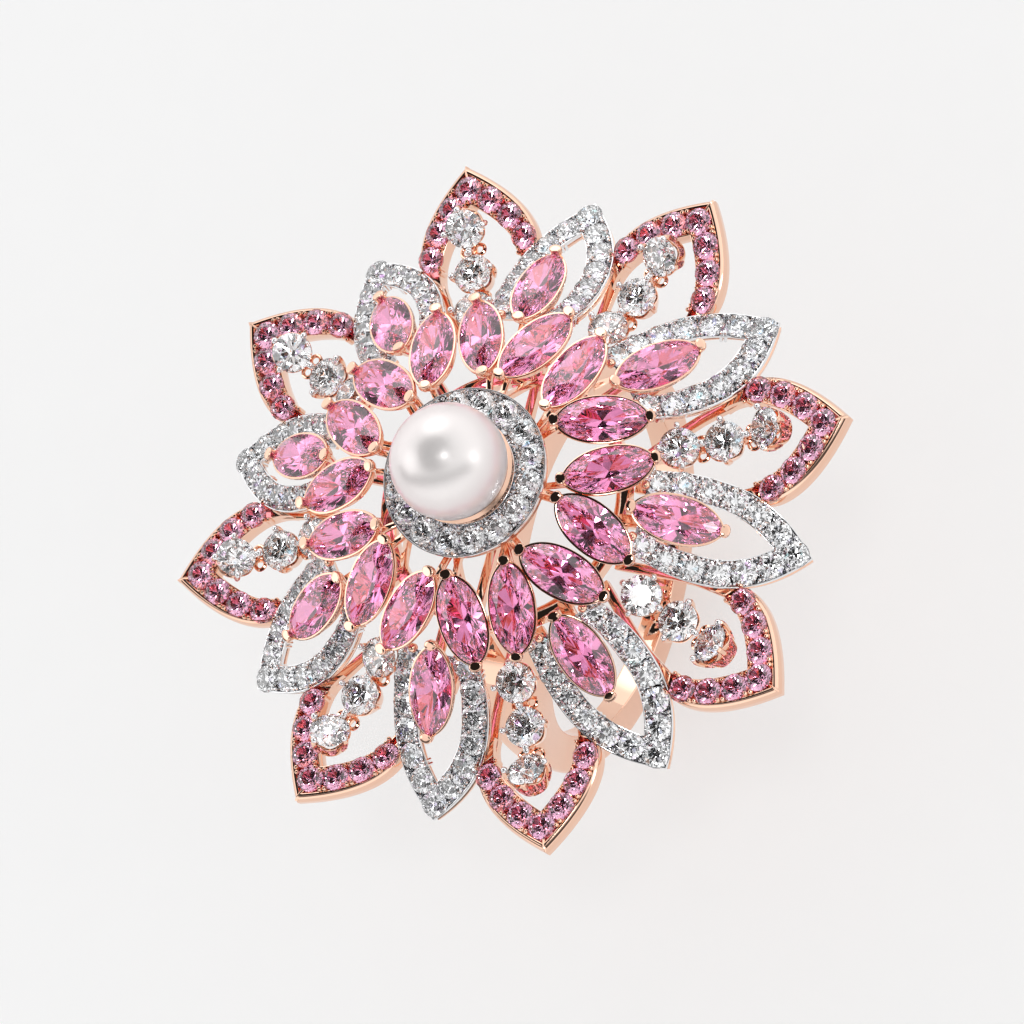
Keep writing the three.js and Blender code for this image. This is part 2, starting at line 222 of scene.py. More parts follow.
# finishes
polishValues = {"low": -0.2, "high": 0.08, "cloudScale": 600, "cloudDetail": 3, "waveScale": 9000,
                "relief": 0.15, "reliefDepth": 0.004}
metalValues = {
    "roseGold": {"color": (0.93, 0.62, 0.47), "deep": (0.88, 0.55, 0.41)},
    "whiteGold": {"color": (0.86, 0.86, 0.87), "deep": (0.80, 0.80, 0.81)}}
# each stone has painted fire: a share of small cells takes in some random colour, standing in for coloured
# glints of light
gemValues = {
    "pinkSapphire": {"color": (0.98, 0.33, 0.62), "fireTint": 0.12, "ior": 2.0, "share": 0.25, "cell": 2600},
    "palePinkSapphire": {"color": (0.99, 0.52, 0.74), "fireTint": 0.12, "ior": 1.9, "share": 0.25, "cell": 2600},
    "clearDiamond": {"color": (0.98, 0.98, 0.99), "fireTint": 0.7, "ior": 2.42, "share": 0.12, "cell": 4000}}
nacreValues = {"pale": (0.82, 0.79, 0.78), "deep": (0.78, 0.74, 0.73), "rosy": (0.90, 0.78, 0.78),
               "turn": 0.25, "cloudScale": 350, "metallic": 0.42, "roughness": 0.34,
               "coat": 0.6, "coatRoughness": 0.16}


def nodeTree(material):
    material.use_nodes = True
    tree = material.node_tree
    return tree, tree.nodes["Principled BSDF"]


def addNode(tree, kind, **values):
    node = tree.nodes.new(kind)
    for key, value in values.items():
        setattr(node, key, value)
    return node


def linkAll(tree, *pairs):
    for start, end in pairs:
        tree.links.new(start, end)


def makePolishGroup():
    # hand polish: a broad cloud that changes the colour and here and there dulls the mirror,
    # and a fine waviness for the height
    group = bpy.data.node_groups.new("handPolish", "ShaderNodeTree")
    inputs = {"Vector": "NodeSocketVector", "Color": "NodeSocketColor", "Deep": "NodeSocketColor",
              "Low": "NodeSocketFloat", "High": "NodeSocketFloat", "Scale": "NodeSocketFloat"}
    outputs = {"Color": "NodeSocketColor", "Roughness": "NodeSocketFloat", "Height": "NodeSocketFloat"}
    for sockets, way in ((inputs, "INPUT"), (outputs, "OUTPUT")):
        for name, kind in sockets.items():
            group.interface.new_socket(name=name, in_out=way, socket_type=kind)
    start = group.nodes.new("NodeGroupInput")
    end = group.nodes.new("NodeGroupOutput")
    cloud = addNode(group, "ShaderNodeTexNoise")
    cloud.inputs["Detail"].default_value = polishValues["cloudDetail"]
    fine = addNode(group, "ShaderNodeTexNoise")
    fine.inputs["Scale"].default_value = polishValues["waveScale"]
    blend = addNode(group, "ShaderNodeMix", data_type="RGBA")
    span = addNode(group, "ShaderNodeMapRange")
    linkAll(group,
            (start.outputs["Vector"], cloud.inputs["Vector"]),
            (start.outputs["Scale"], cloud.inputs["Scale"]),
            (start.outputs["Vector"], fine.inputs["Vector"]),
            (cloud.outputs["Fac"], blend.inputs["Factor"]),
            (start.outputs["Color"], blend.inputs["A"]),
            (start.outputs["Deep"], blend.inputs["B"]),
            (cloud.outputs["Fac"], span.inputs["Value"]),
            (start.outputs["Low"], span.inputs["To Min"]),
            (start.outputs["High"], span.inputs["To Max"]),
            (blend.outputs["Result"], end.inputs["Color"]),
            (span.outputs["Result"], end.inputs["Roughness"]),
            (fine.outputs["Fac"], end.inputs["Height"]))
    return group


polishGroup = makePolishGroup()


def makeMetal(name):
    values = metalValues[name]
    material = bpy.data.materials.new(name)
    tree, shader = nodeTree(material)
    place = addNode(tree, "ShaderNodeTexCoord")
    polish = addNode(tree, "ShaderNodeGroup", node_tree=polishGroup)
    polish.inputs["Color"].default_value = (*values["color"], 1)
    polish.inputs["Deep"].default_value = (*values["deep"], 1)
    polish.inputs["Low"].default_value = polishValues["low"]
    polish.inputs["High"].default_value = polishValues["high"]
    polish.inputs["Scale"].default_value = polishValues["cloudScale"]
    relief = addNode(tree, "ShaderNodeBump")
    relief.inputs["Strength"].default_value = polishValues["relief"]
    relief.inputs["Distance"].default_value = polishValues["reliefDepth"] * mm
    linkAll(tree,
            (place.outputs["Object"], polish.inputs["Vector"]),
            (polish.outputs["Color"], shader.inputs["Base Color"]),
            (polish.outputs["Roughness"], shader.inputs["Roughness"]),
            (polish.outputs["Height"], relief.inputs["Height"]),
            (relief.outputs["Normal"], shader.inputs["Normal"]))
    shader.inputs["Metallic"].default_value = 1
    return material


def makeGem(name):
    # clear stone: most of it one colour, and scattered cells from a cell pattern take part of a random
    # colour; this is painted fire, coloured glints put into the stone's colour
    values = gemValues[name]
    material = bpy.data.materials.new(name)
    tree, shader = nodeTree(material)
    place = addNode(tree, "ShaderNodeTexCoord")
    cells = addNode(tree, "ShaderNodeTexVoronoi")
    cells.inputs["Scale"].default_value = values["cell"]
    pick = addNode(tree, "ShaderNodeSeparateColor")
    # painted fire: cells whose random blue falls in the top share get a coloured glint mixed into the stone's
    # colour
    fireMask = addNode(tree, "ShaderNodeMapRange")
    fireMask.inputs["From Min"].default_value = 1 - values["share"]
    fireMask.inputs["From Max"].default_value = 1
    fireColor = addNode(tree, "ShaderNodeMix", data_type="RGBA")
    fireColor.inputs["A"].default_value = (*values["color"], 1)
    blend = addNode(tree, "ShaderNodeMix", data_type="RGBA")
    blend.inputs["Factor"].default_value = values["fireTint"]
    blend.inputs["A"].default_value = (*values["color"], 1)
    linkAll(tree,
            (place.outputs["Object"], cells.inputs["Vector"]),
            (cells.outputs["Color"], pick.inputs["Color"]),
            (cells.outputs["Color"], blend.inputs["B"]),
            (pick.outputs["Blue"], fireMask.inputs["Value"]),
            (fireMask.outputs["Result"], fireColor.inputs["Factor"]),
            (blend.outputs["Result"], fireColor.inputs["B"]),
            (fireColor.outputs["Result"], shader.inputs["Base Color"]))
    shader.inputs["Roughness"].default_value = 0
    shader.inputs["IOR"].default_value = values["ior"]
    shader.inputs["Transmission Weight"].default_value = 1
    return material


def makePearl():
    # nacre: pale body under a soft mirror, faint growth clouds, rosy where it turns away
    material = bpy.data.materials.new("nacre")
    tree, shader = nodeTree(material)
    place = addNode(tree, "ShaderNodeTexCoord")
    cloud = addNode(tree, "ShaderNodeTexNoise")
    cloud.inputs["Scale"].default_value = nacreValues["cloudScale"]
    body = addNode(tree, "ShaderNodeMix", data_type="RGBA")
    body.inputs["A"].default_value = (*nacreValues["pale"], 1)
    body.inputs["B"].default_value = (*nacreValues["deep"], 1)
    turned = addNode(tree, "ShaderNodeLayerWeight")
    turned.inputs["Blend"].default_value = nacreValues["turn"]
    rosy = addNode(tree, "ShaderNodeMix", data_type="RGBA")
    rosy.inputs["B"].default_value = (*nacreValues["rosy"], 1)
    linkAll(tree,
            (place.outputs["Object"], cloud.inputs["Vector"]),
            (cloud.outputs["Fac"], body.inputs["Factor"]),
            (turned.outputs["Facing"], rosy.inputs["Factor"]),
            (body.outputs["Result"], rosy.inputs["A"]),
            (rosy.outputs["Result"], shader.inputs["Base Color"]))
    shader.inputs["Metallic"].default_value = nacreValues["metallic"]
    shader.inputs["Roughness"].default_value = nacreValues["roughness"]
    shader.inputs["Coat Weight"].default_value = nacreValues["coat"]
    shader.inputs["Coat Roughness"].default_value = nacreValues["coatRoughness"]
    return material


roseGold = makeMetal("roseGold")
whiteGold = makeMetal("whiteGold")
pinkStone = makeGem("pinkSapphire")
paleStone = makeGem("palePinkSapphire")
clearStone = makeGem("clearDiamond")
pearlSkin = makePearl()
print("finishes made")


# cut stones
def brilliantPart(cut, outline, girdleCount=16):
    # rings of points: table, star, girdle top and bottom, pavilion, culet; each ring is the outline
    # times a share, and the star and pavilion heights keep the kite facets flat on a round stone
    eighths = np.arange(8) * math.pi / 4
    between = eighths + math.pi / 8
    around = np.arange(girdleCount) * 2 * math.pi / girdleCount
    turn = math.cos(math.pi / 8)
    starHeight = cut["crown"] * (1 - cut["star"] * turn) / (1 - cut["table"])
    lowHeight = -cut["girdle"] - cut["pavilion"] * (1 - cut["lower"] * turn)

    def ring(angles, share, height):
        x, y = outline(angles)
        return np.stack([x * share, y * share, np.full(len(angles), height)], -1)

    points = np.concatenate([
        ring(eighths, cut["table"], cut["crown"]), ring(between, cut["star"], starHeight),
        ring(around, 1, 0), ring(around, 1, -cut["girdle"]), ring(between, cut["lower"], lowHeight),
        [[0, 0, -cut["girdle"] - cut["pavilion"]]]])
    table, star, top = 0, 8, 16
    bottom, low = top + girdleCount, top + 2 * girdleCount
    culet = low + 8
    k = np.arange(8)
    step = girdleCount // 8
    faces = [np.array([[0, 1, 2, 3], [0, 3, 4, 5], [0, 5, 6, 7]])]

    def add(a, b, c, d=None):
        faces.append(np.stack([a, b, c, c if d is None else d], -1))

    add(table + k, star + k, table + (k + 1) % 8)
    add(table + k, star + (k - 1) % 8, top + k * step)
    add(table + k, top + k * step, star + k)
    for j in range(step):
        a, b = (k * step + j) % girdleCount, (k * step + j + 1) % girdleCount
        add(star + k, top + a, top + b)
        add(low + k, bottom + b, bottom + a)
    g = np.arange(girdleCount)
    add(top + g, bottom + g, bottom + (g + 1) % girdleCount, top + (g + 1) % girdleCount)
    add(bottom + k * step, low + (k - 1) % 8, culet + 0 * k)
    add(bottom + k * step, culet + 0 * k, low + k)
    return points, np.concatenate(faces)


def roundOutline(radius):
    # x and y are the radius times cosine and sine
    return lambda angle: (radius * np.cos(angle), radius * np.sin(angle))


def navetteOutline(halfLength, halfWidth):
    # full-shouldered navette: y is the half width times (1 - (x over half length) ^ belly) ^ shoulder
    def outline(angle):
        x = halfLength * np.cos(angle)
        fullness = np.clip(1 - np.abs(np.cos(angle)) ** navetteCut["belly"], 0, 1)
        y = halfWidth * fullness ** navetteCut["shoulder"]
        return x, np.where(np.sin(angle) >= 0, y, -y)
    return outline


roundCut = {"table": 0.56, "crown": 0.32, "star": 0.80, "girdle": 0.05, "pavilion": 0.86, "lower": 0.24}
navetteCut = {"table": 0.54, "crown": 0.36, "star": 0.79, "girdle": 0.07, "pavilion": 0.92, "lower": 0.26,
              "halfLength": 2.15, "halfWidth": 1.08, "belly": 2.2, "shoulder": 0.62}


def roundStone(radius, girdleCount=16):
    # the heights of the cut are shares of the radius
    scaled = {key: value * radius if key in ("crown", "girdle", "pavilion") else value
              for key, value in roundCut.items()}
    return brilliantPart(scaled, roundOutline(radius), girdleCount)


navetteStone = brilliantPart(
    navetteCut, navetteOutline(navetteCut["halfLength"], navetteCut["halfWidth"]), girdleCount=32)


def seatFrame(near, far):
    # X from the near point to the far point, Y level, Z out of the table
    along = unit(far - near)
    across = unit(np.cross([0, 0, 1], along))
    seat = np.eye(4)
    seat[:3, 0], seat[:3, 1], seat[:3, 2] = along, across, np.cross(along, across)
    seat[:3, 3] = (near + far) / 2
    return seat


# band
bandValues = {"halfWidth": 0.68, "thickness": 1.93, "flareFrom": -2.0, "flareTo": 9.0, "innerSoft": 0.12,
              "outerSoft": 0.34, "bridgeHalf": 0.45, "bridgeEnd": 34, "bridgeStart": 50, "rows": 220}


def smoothStep(share):
    # share squared times 3 less twice the share
    share = np.clip(share, 0, 1)
    return share ** 2 * (3 - 2 * share)


def makeBand():
    # a hoop round Y whose half width eases from palm to shoulder, then to a narrow bridge over the finger
    outer, shoulder = (np.array(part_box("shank")[1]) / mm)[:2]
    inner = outer - bandValues["thickness"]
    angle = np.linspace(0, 2 * math.pi, bandValues["rows"], endpoint=False)
    height = (inner + outer) / 2 * np.sin(angle)
    flareHeight = bandValues["flareTo"] - bandValues["flareFrom"]
    flare = smoothStep((height - bandValues["flareFrom"]) / flareHeight)
    fromTop = np.degrees(np.arccos(np.sin(angle)))
    bridgeEase = bandValues["bridgeStart"] - bandValues["bridgeEnd"]
    bridge = smoothStep((bandValues["bridgeStart"] - fromTop) / bridgeEase)
    halfWidth = bandValues["halfWidth"] + (shoulder - bandValues["halfWidth"]) * flare
    halfWidth = halfWidth * (1 - bridge) + bandValues["bridgeHalf"] * bridge
    corners = np.array([[inner, -1], [outer, -1], [outer, 1], [inner, 1]], float)
    # each row has its own section, because the corners keep their size as the band widens
    innerSoft, outerSoft = bandValues["innerSoft"], bandValues["outerSoft"]
    soft = [innerSoft, outerSoft, outerSoft, innerSoft]
    sections = np.stack([roundedPolygon(corners * [1, half], soft, 6) for half in halfWidth])
    radius, across = sections[..., 0], sections[..., 1]
    points = np.stack([radius * np.cos(angle)[:, None], across, radius * np.sin(angle)[:, None]], -1)
    putPiece("band", [gridPart(points, True, True)], roseGold, ["shank"])


makeBand()
print("band made")


# pearl, cup and halo
pearlValues = {"cupRim": 16.95, "cupWall": 0.2, "cupGap": 0.02, "cupHole": 0.05, "peg": 0.4, "pegTop": 1,
               "rows": 72, "columns": 96}
haloValues = {"stones": 16, "stoneRadius": 0.66, "rowRadius": 3.35, "lift": 0.02,
              "bead": 0.09, "beadOut": 0.52, "beadLift": 0.04, "beadSpread": 0.035,
              "postDepth": 0.55, "postShare": 0.9,
              "hole": 2.1, "innerEdge": 2.26, "innerTop": 2.5, "innerFoot": 2.7, "innerDrop": 0.16,
              "depth": 0.62, "channel": 0.5, "taper": 0.16, "edge": 0.12, "lip": 0.02, "wallTop": 0.08,
              "wallFoot": 0.17, "soft": 0.03, "underHole": 2.6, "underTop": 0.63, "underIn": 0.1,
              "underFoot": 0.3, "underSoft": 0.04}


def makePearlAndCup():
    # a ball, under it a shell of two arcs about the ball's middle turned round Z,
    # and a peg down to the gallery
    low, high = (np.array(corner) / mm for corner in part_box("pearl"))
    radius = (high[2] - low[2]) / 2
    centre = (high[2] + low[2]) / 2
    points, faces = ballPart(radius, pearlValues["rows"], pearlValues["columns"])
    putPiece("pearlBall", [(points + [0, 0, centre], faces)], pearlSkin, ["pearl"])
    inside = radius + pearlValues["cupGap"]
    outside = inside + pearlValues["cupWall"]
    rim = math.acos((centre - pearlValues["cupRim"]) / inside)
    angle = np.linspace(pearlValues["cupHole"], rim, 24)
    wall = np.concatenate([
        np.stack([outside * np.sin(angle), centre - outside * np.cos(angle)], -1),
        np.stack([inside * np.sin(angle[::-1]), centre - inside * np.cos(angle[::-1])], -1)])
    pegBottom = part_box("pearl_cup")[0].z / mm
    pegPath = np.linspace([0, 0, pegBottom], [0, 0, centre - pearlValues["pegTop"]], 12)
    peg = wirePart(pegPath, pearlValues["peg"], (1, 0, 0), 20)
    putPiece("pegCup", [lathePart(wall, 96), peg], roseGold, ["pearl_cup"])


def makeHalo():
    # a channel section turned round Z with stones in it at equal turns,
    # and at each gap one bead inside and two outside
    low, high = (np.array(corner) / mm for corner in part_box("halo_ring"))
    outer, top = high[0], high[2]
    values = haloValues
    body = roundedPolygon([[values["hole"], top - values["depth"]],
                           [outer - values["taper"], top - values["depth"]],
                           [outer, top - values["edge"]], [outer, top + values["lip"]],
                           [outer - values["wallTop"], top + values["lip"]],
                           [outer - values["wallFoot"], top - values["channel"]],
                           [values["innerFoot"], top - values["channel"]],
                           [values["innerTop"], top - values["innerDrop"]],
                           [values["innerEdge"], top - values["innerDrop"]]], values["soft"], 4)
    under = roundedPolygon([[values["underHole"], low[2]], [outer - values["underFoot"], low[2]],
                            [outer - values["underIn"], top - values["underTop"]],
                            [values["underHole"], top - values["underTop"]]], values["underSoft"], 4)
    turns = np.arange(values["stones"]) * 2 * math.pi / values["stones"]
    seat = np.eye(4)
    seat[:3, 3] = (values["rowRadius"], 0, top + values["lift"])
    seats = np.stack([turnedZ(turn) @ seat for turn in turns])
    stones = placed(roundStone(values["stoneRadius"]), seats)
    post = wirePart(np.linspace([0, 0, -values["postDepth"]], [0, 0, 0], 4),
                    values["bead"] * values["postShare"], (1, 0, 0), 7, domed=False)
    bead = joined([outward(ballPart(values["bead"], 7, 8, beadSquash)), outward(post)])
    spots = []
    inside, outside = values["rowRadius"] - values["beadOut"], values["rowRadius"] + values["beadOut"]
    for turn in turns + math.pi / values["stones"]:
        for radius, spread in ((inside, 0.0), (outside, values["beadSpread"]),
                               (outside, -values["beadSpread"])):
            seat = np.eye(4)
            seat[:3, 3] = (radius, 0, top + values["beadLift"])
            spots.append(turnedZ(turn + spread) @ seat)
    putPiece("haloRing", [lathePart(body, 128), placed(bead, np.stack(spots))], whiteGold,
             ["halo_ring"])
    putPiece("haloUnderRim", [lathePart(under, 128)], roseGold)
    putPiece("haloStones", [stones], clearStone, faceted=True)


makePearlAndCup()
makeHalo()
print("pearl and halo made")


# navette stones and seats
seatValues = {"railOut": 0.06, "railHeight": -0.13, "lowRail": -0.62, "lowShare": 0.8, "railSoft": 0.03,
              "railSection": [[-0.05, -0.11], [0.09, -0.11], [0.09, 0.09], [-0.05, 0.09]],
              "clawAlong": 0.25, "clawAcross": 0.33,
              "post": [[1.0, 1.0, -0.13], [0.95, 0.9, -0.4], [0.9, 0.8, -0.62]], "postRadius": 0.08}
# each row of a claw: how far along the stone, length share, width share, height
clawRows = np.array([[1.55, 0.45, 0.5, -1.05], [1.75, 0.55, 0.55, -0.8], [2.05, 0.7, 0.6, -0.4],
                     [2.24, 0.88, 0.8, -0.1], [2.28, 1.0, 0.95, 0.06], [2.27, 1.02, 1.0, 0.17],
                     [2.27, 1.0, 1.0, 0.22], [2.26, 0.95, 0.95, 0.268], [2.26, 0.88, 0.88, 0.294],
                     [2.25, 0.8, 0.8, 0.304], [2.25, 0.4, 0.4, 0.305], [2.25, 0, 0, 0.305]])
stemValues = {"points": ((5.35, 5.3, 15.35), (4.8, 5.2, 15.42), (4.1, 4.6, 15.25), (3.3, 3.4, 15.0)),
              "section": [[-0.14, -0.17], [0.14, -0.17], [0.14, 0.17], [-0.14, 0.17]], "soft": 0.06}
innerTips = {"near": (4.92, 4.98, 16.3), "far": (9.03, 15.95, 14.95)}
outerTips = {"near": (8.08, 0.0, 15.0), "far": (12.1, 0.0, 12.98)}


def polarPoint(radius, degrees, height, side=1):
    # radius times cosine and sine of the angle, at a height
    angle = math.radians(side * degrees)
    return np.array([radius * math.cos(angle), radius * math.sin(angle), height])


def clawPart(side):
    # V claw: an oval that runs up the point of the stone and closes in a flat top;
    # each row is an oval of its own size, moved along the stone's length
    along, length, width, height = (clawRows[:, i:i + 1] for i in range(4))
    turn = np.linspace(0, 2 * math.pi, 18, endpoint=False)[None]
    points = np.stack([side * (along + seatValues["clawAlong"] * length * np.cos(turn)),
                       seatValues["clawAcross"] * width * np.sin(turn),
                       height * np.ones_like(turn)], -1)
    foot = points[:1].mean(1, keepdims=True).repeat(points.shape[1], 1)
    return gridPart(np.concatenate([foot, points]), loopColumns=True)


def navetteSeatParts():
    # two rails that follow the girdle outline, short posts between them, and a claw over each point
    length, width = navetteCut["halfLength"], navetteCut["halfWidth"]
    angle = np.linspace(0, 2 * math.pi, 72, endpoint=False)
    flat = roundedPolygon(seatValues["railSection"], seatValues["railSoft"], 3)
    parts = []
    for share, height in ((1, seatValues["railHeight"]), (seatValues["lowShare"], seatValues["lowRail"])):
        out = seatValues["railOut"]
        x, y = navetteOutline(length * share + out, width * share + out)(angle)
        path = np.stack([x, y, np.full(len(angle), height)], -1)
        parts.append(sweepPart(path, flat, upright, loop=True))
    post = np.array(seatValues["post"])
    for side in (-1, 1):
        parts.append(clawPart(side))
        for x in (-1.0, 1.0):
            path = throughPoints(post * [x, side, 1], 8)
            parts.append(wirePart(path, seatValues["postRadius"], (1, 0, 0), 8))
    return parts


navetteSeat = joined([outward(part) for part in navetteSeatParts()])


def innerSeatFrames():
    # two seats to each turn of the flower, mirror images across the middle of a white petal
    frames = []
    for i in range(petalCount):
        for side in (1, -1):
            frames.append(turnedZ(i * petalTurn) @ seatFrame(polarPoint(*innerTips["near"], side),
                                                             polarPoint(*innerTips["far"], side)))
    return np.stack(frames)


def makeCrown():
    frames = innerSeatFrames()
    stems = []
    for i in range(petalCount):
        for side in (1, -1):
            path = throughPoints([polarPoint(*point, side) for point in stemValues["points"]], 16)
            flat = roundedPolygon(stemValues["section"], stemValues["soft"], 3)
            stems.append(placed(sweepPart(path, flat, upright), turnedZ(i * petalTurn)))
    putPiece("crownSeats", [placed(navetteSeat, frames), *stems], roseGold, ["marquise_crown"])
    for i, seat in enumerate(frames):
        putPiece(f"innerNavette{i + 1}", [placed(navetteStone, seat)], pinkStone,
                 [f"inner_marquise_{i + 1}"], faceted=True)


def makeOuterNavettes():
    seat = seatFrame(polarPoint(*outerTips["near"]), polarPoint(*outerTips["far"]))
    for i in range(petalCount):
        turned = turnedZ(i * petalTurn) @ seat
        putPiece(f"outerNavette{i + 1}", [placed(navetteStone, turned)], pinkStone,
                 [f"outer_marquise_{i + 1}"], faceted=True)
        putPiece(f"outerSeat{i + 1}", [placed(navetteSeat, turned)], roseGold)


makeCrown()
makeOuterNavettes()
print("navettes set")


# petals
# A leaf edge: half width = widest x (1 - distance from the widest place over its reach, to a power),
# with one reach and power towards the tip and another towards the base.
whiteLeaf = {
    "outer": {"tip": 15.55, "base": 8.2, "widestAt": 10.7, "widest": 2.52, "tipPower": 2.35,
              "baseReach": 5.4, "basePower": 2.0},
    "inner": {"tip": 13.82, "base": 8.35, "widestAt": 11.0, "widest": 1.2, "tipPower": 2.05,
              "baseReach": 2.97, "basePower": 4.9},
    "section": [[0.12, -0.58], [0, -0.12], [0, 0], [0.07, 0], [0.15, -0.5], [1.2, -0.5], [1.28, 0], [1.35, 0],
                [1.35, -0.12], [1.22, -0.58]],
    "under": [[0.16, -0.9], [0.1, -0.59], [1.25, -0.59], [1.18, -0.9]],
    "width": 1.35, "share": 0.5, "stoneRadius": 0.63, "tipRadius": 0.66, "armStones": 6, "firstStone": 1.16,
    "pitch": 1.28, "tipStone": 14.8, "bead": 0.1, "beadOut": 0.48, "lift": 0.06, "end": 0.24,
    "endLift": 0.02,
    "height": 13.98, "heightAt": 8.88, "fall": 0.687, "bend": 0.038, "bendTo": 12.2}
pinkLeaf = {
    "outer": {"tip": 17.49, "base": 11.3, "widestAt": 13.2, "widest": 3.13, "tipPower": 1.85,
              "baseReach": 3.24, "basePower": 2.0},
    "inner": {"tip": 15.45, "base": 11.3, "widestAt": 12.0, "widest": 2.16, "tipPower": 1.92,
              "baseReach": 3.0, "basePower": 2.0},
    "section": [[0.02, -0.95], [0, -0.5], [0, 0], [0.08, 0], [0.12, -0.62], [1.2, -0.62], [1.22, 0],
                [1.34, 0], [1.48, -0.14], [1.55, -0.42], [1.54, -0.8], [1.45, -0.95]],
    "recess": [[0.06, -0.5], [0.06, -0.12], [1.24, -0.12], [1.24, -0.5]], "recessFrom": 0.8,
    "width": 1.55, "share": 0.43, "stoneRadius": 0.665, "tipRadius": 0.68, "armStones": 3, "firstStone": 1.38,
    "pitch": 1.34, "tipStone": 16.17, "bead": 0.13, "beadOut": 0.47, "lift": 0.05,
    "ridge": [[-0.15, -0.12], [0.15, -0.12], [0, 0.08]],
    "ridgeDrops": ((16.82, 0.02), (17.2, 0.03), (17.42, 0.16)),
    "strut": [[12.2, 2.42, 10.7], [11.6, 2.33, 10.5], [9.7, 1.9, 10.36], [6.3, 0.55, 10.36]],
    "strutSection": [[-0.25, -0.21], [0.25, -0.21], [0.25, 0.21], [-0.25, 0.21]], "strutSoft": 0.06,
    "height": 11.25, "heightAt": 13.2, "rise": 0.11}
edgeSoft = 0.03
beadValues = {"lift": 0.05, "spread": 0.95, "postFrom": -0.6, "postTo": 0.02, "postShare": 0.9}


def whiteHeight(radius):
    # falls at an even slope, with a little hollow between the two radii where the bend is nothing
    out = radius - whiteLeaf["heightAt"]
    hollow = whiteLeaf["bend"] * out * (radius - whiteLeaf["bendTo"])
    return whiteLeaf["height"] - whiteLeaf["fall"] * out + hollow


def pinkHeight(radius):
    # rises evenly outwards
    return pinkLeaf["height"] + pinkLeaf["rise"] * (radius - pinkLeaf["heightAt"])


def leafEdge(edge, t):
    # t runs from -1 at one arm's base through 0 at the tip to 1 at the other arm's base
    x = edge["tip"] - (edge["tip"] - edge["base"]) * np.abs(t)
    fromWidest = x - edge["widestAt"]
    reach = np.where(fromWidest > 0, edge["tip"] - edge["widestAt"], edge["baseReach"])
    power = np.where(fromWidest > 0, edge["tipPower"], edge["basePower"])
    width = edge["widest"] * (1 - (np.abs(fromWidest) / reach) ** power)
    return np.stack([x, np.sign(t) * width], -1)


def leafPart(leaf, section, heightAt, rows=97, span=(-1, 1)):
    # the section's x is the share of the way from inner to outer edge, its y the height over the surface
    t = np.linspace(*span, rows)
    inner, outer = leafEdge(leaf["inner"], t), leafEdge(leaf["outer"], t)
    share = section[None, :, 0, None]
    flat = inner[:, None] * (1 - share) + outer[:, None] * share
    height = heightAt(np.hypot(flat[..., 0], flat[..., 1])) + section[None, :, 1]
    points = np.concatenate([flat, height[..., None]], -1)
    ends = points[[0, -1]].mean(1, keepdims=True).repeat(points.shape[1], 1)
    return gridPart(np.concatenate([ends[:1], points, ends[1:]]), loopColumns=True)


def armSection(leaf, key="section"):
    # corners in millimetres across the arm, rounded, then as a share of the arm's width
    return roundedPolygon(leaf[key], edgeSoft, 3) / [leaf["width"], 1]


def stoneRow(leaf, heightAt):
    # middles of the stones: equal steps of length along each arm's line from the tip, heights counted
    t = np.linspace(0, 1, 400)
    share = leaf["share"]
    line = leafEdge(leaf["inner"], t) * (1 - share) + leafEdge(leaf["outer"], t) * share
    solid = np.concatenate([line, heightAt(np.hypot(line[:, 0], line[:, 1]))[:, None]], -1)
    length = np.concatenate([[0], np.cumsum(np.linalg.norm(np.diff(solid, axis=0), axis=1))])

    def along(steps):
        return np.stack([np.interp(steps, length, line[:, 0]), np.interp(steps, length, line[:, 1])], -1)

    steps = leaf["firstStone"] + leaf["pitch"] * np.arange(leaf["armStones"])
    gaps = np.append(steps - leaf["pitch"] / 2, steps[-1] + leaf["pitch"] / 2)
    across = unit(along(gaps + 0.02) - along(gaps))[:, ::-1] * [-1, 1]
    arm = along(steps)
    return np.concatenate([arm, arm * [1, -1]]), along(gaps), across


def surfaceFrames(flats, heightAt, lift):
    # stands on the petal's surface: Z is its normal, from the slope of height along the radius
    frames = []
    for x, y in flats:
        radius = math.hypot(x, y)
        slope = (heightAt(radius + 0.01) - heightAt(radius - 0.01)) / 0.02
        normal = unit(np.array([-slope * x / radius, -slope * y / radius, 1.0]))
        along = unit(np.cross([0, 1.0, 0], normal))
        stand = np.eye(4)
        stand[:3, 0], stand[:3, 1], stand[:3, 2] = along, np.cross(normal, along), normal
        stand[:3, 3] = np.array([x, y, heightAt(radius)]) + normal * lift
        frames.append(stand)
    return np.stack(frames)


def petalParts(leaf, heightAt):
    # the row of stones, and two pairs of beads in each gap between them
    flats, gaps, across = stoneRow(leaf, heightAt)
    lift = leaf["lift"]
    tipFrames = surfaceFrames([[leaf["tipStone"], 0]], heightAt, lift)
    stones = joined([placed(roundStone(leaf["stoneRadius"]), surfaceFrames(flats, heightAt, lift)),
                     placed(roundStone(leaf["tipRadius"]), tipFrames)])
    along = across[:, ::-1] * [1, -1] * leaf["bead"] * beadValues["spread"]
    spots = np.concatenate([gaps + side * across * leaf["beadOut"] + end * along
                            for side in (1, -1) for end in (1, -1)])
    spots = np.concatenate([spots, spots * [1, -1]])
    beads = placed(ballPart(leaf["bead"], 7, 8, beadSquash),
                   surfaceFrames(spots, heightAt, beadValues["lift"]))
    postPath = np.linspace([0, 0, beadValues["postFrom"]], [0, 0, beadValues["postTo"]], 4)
    post = wirePart(postPath, leaf["bead"] * beadValues["postShare"], (1, 0, 0), 7, domed=False)
    posts = placed(post, surfaceFrames(spots, heightAt, 0))
    return stones, joined([outward(beads), outward(posts)])


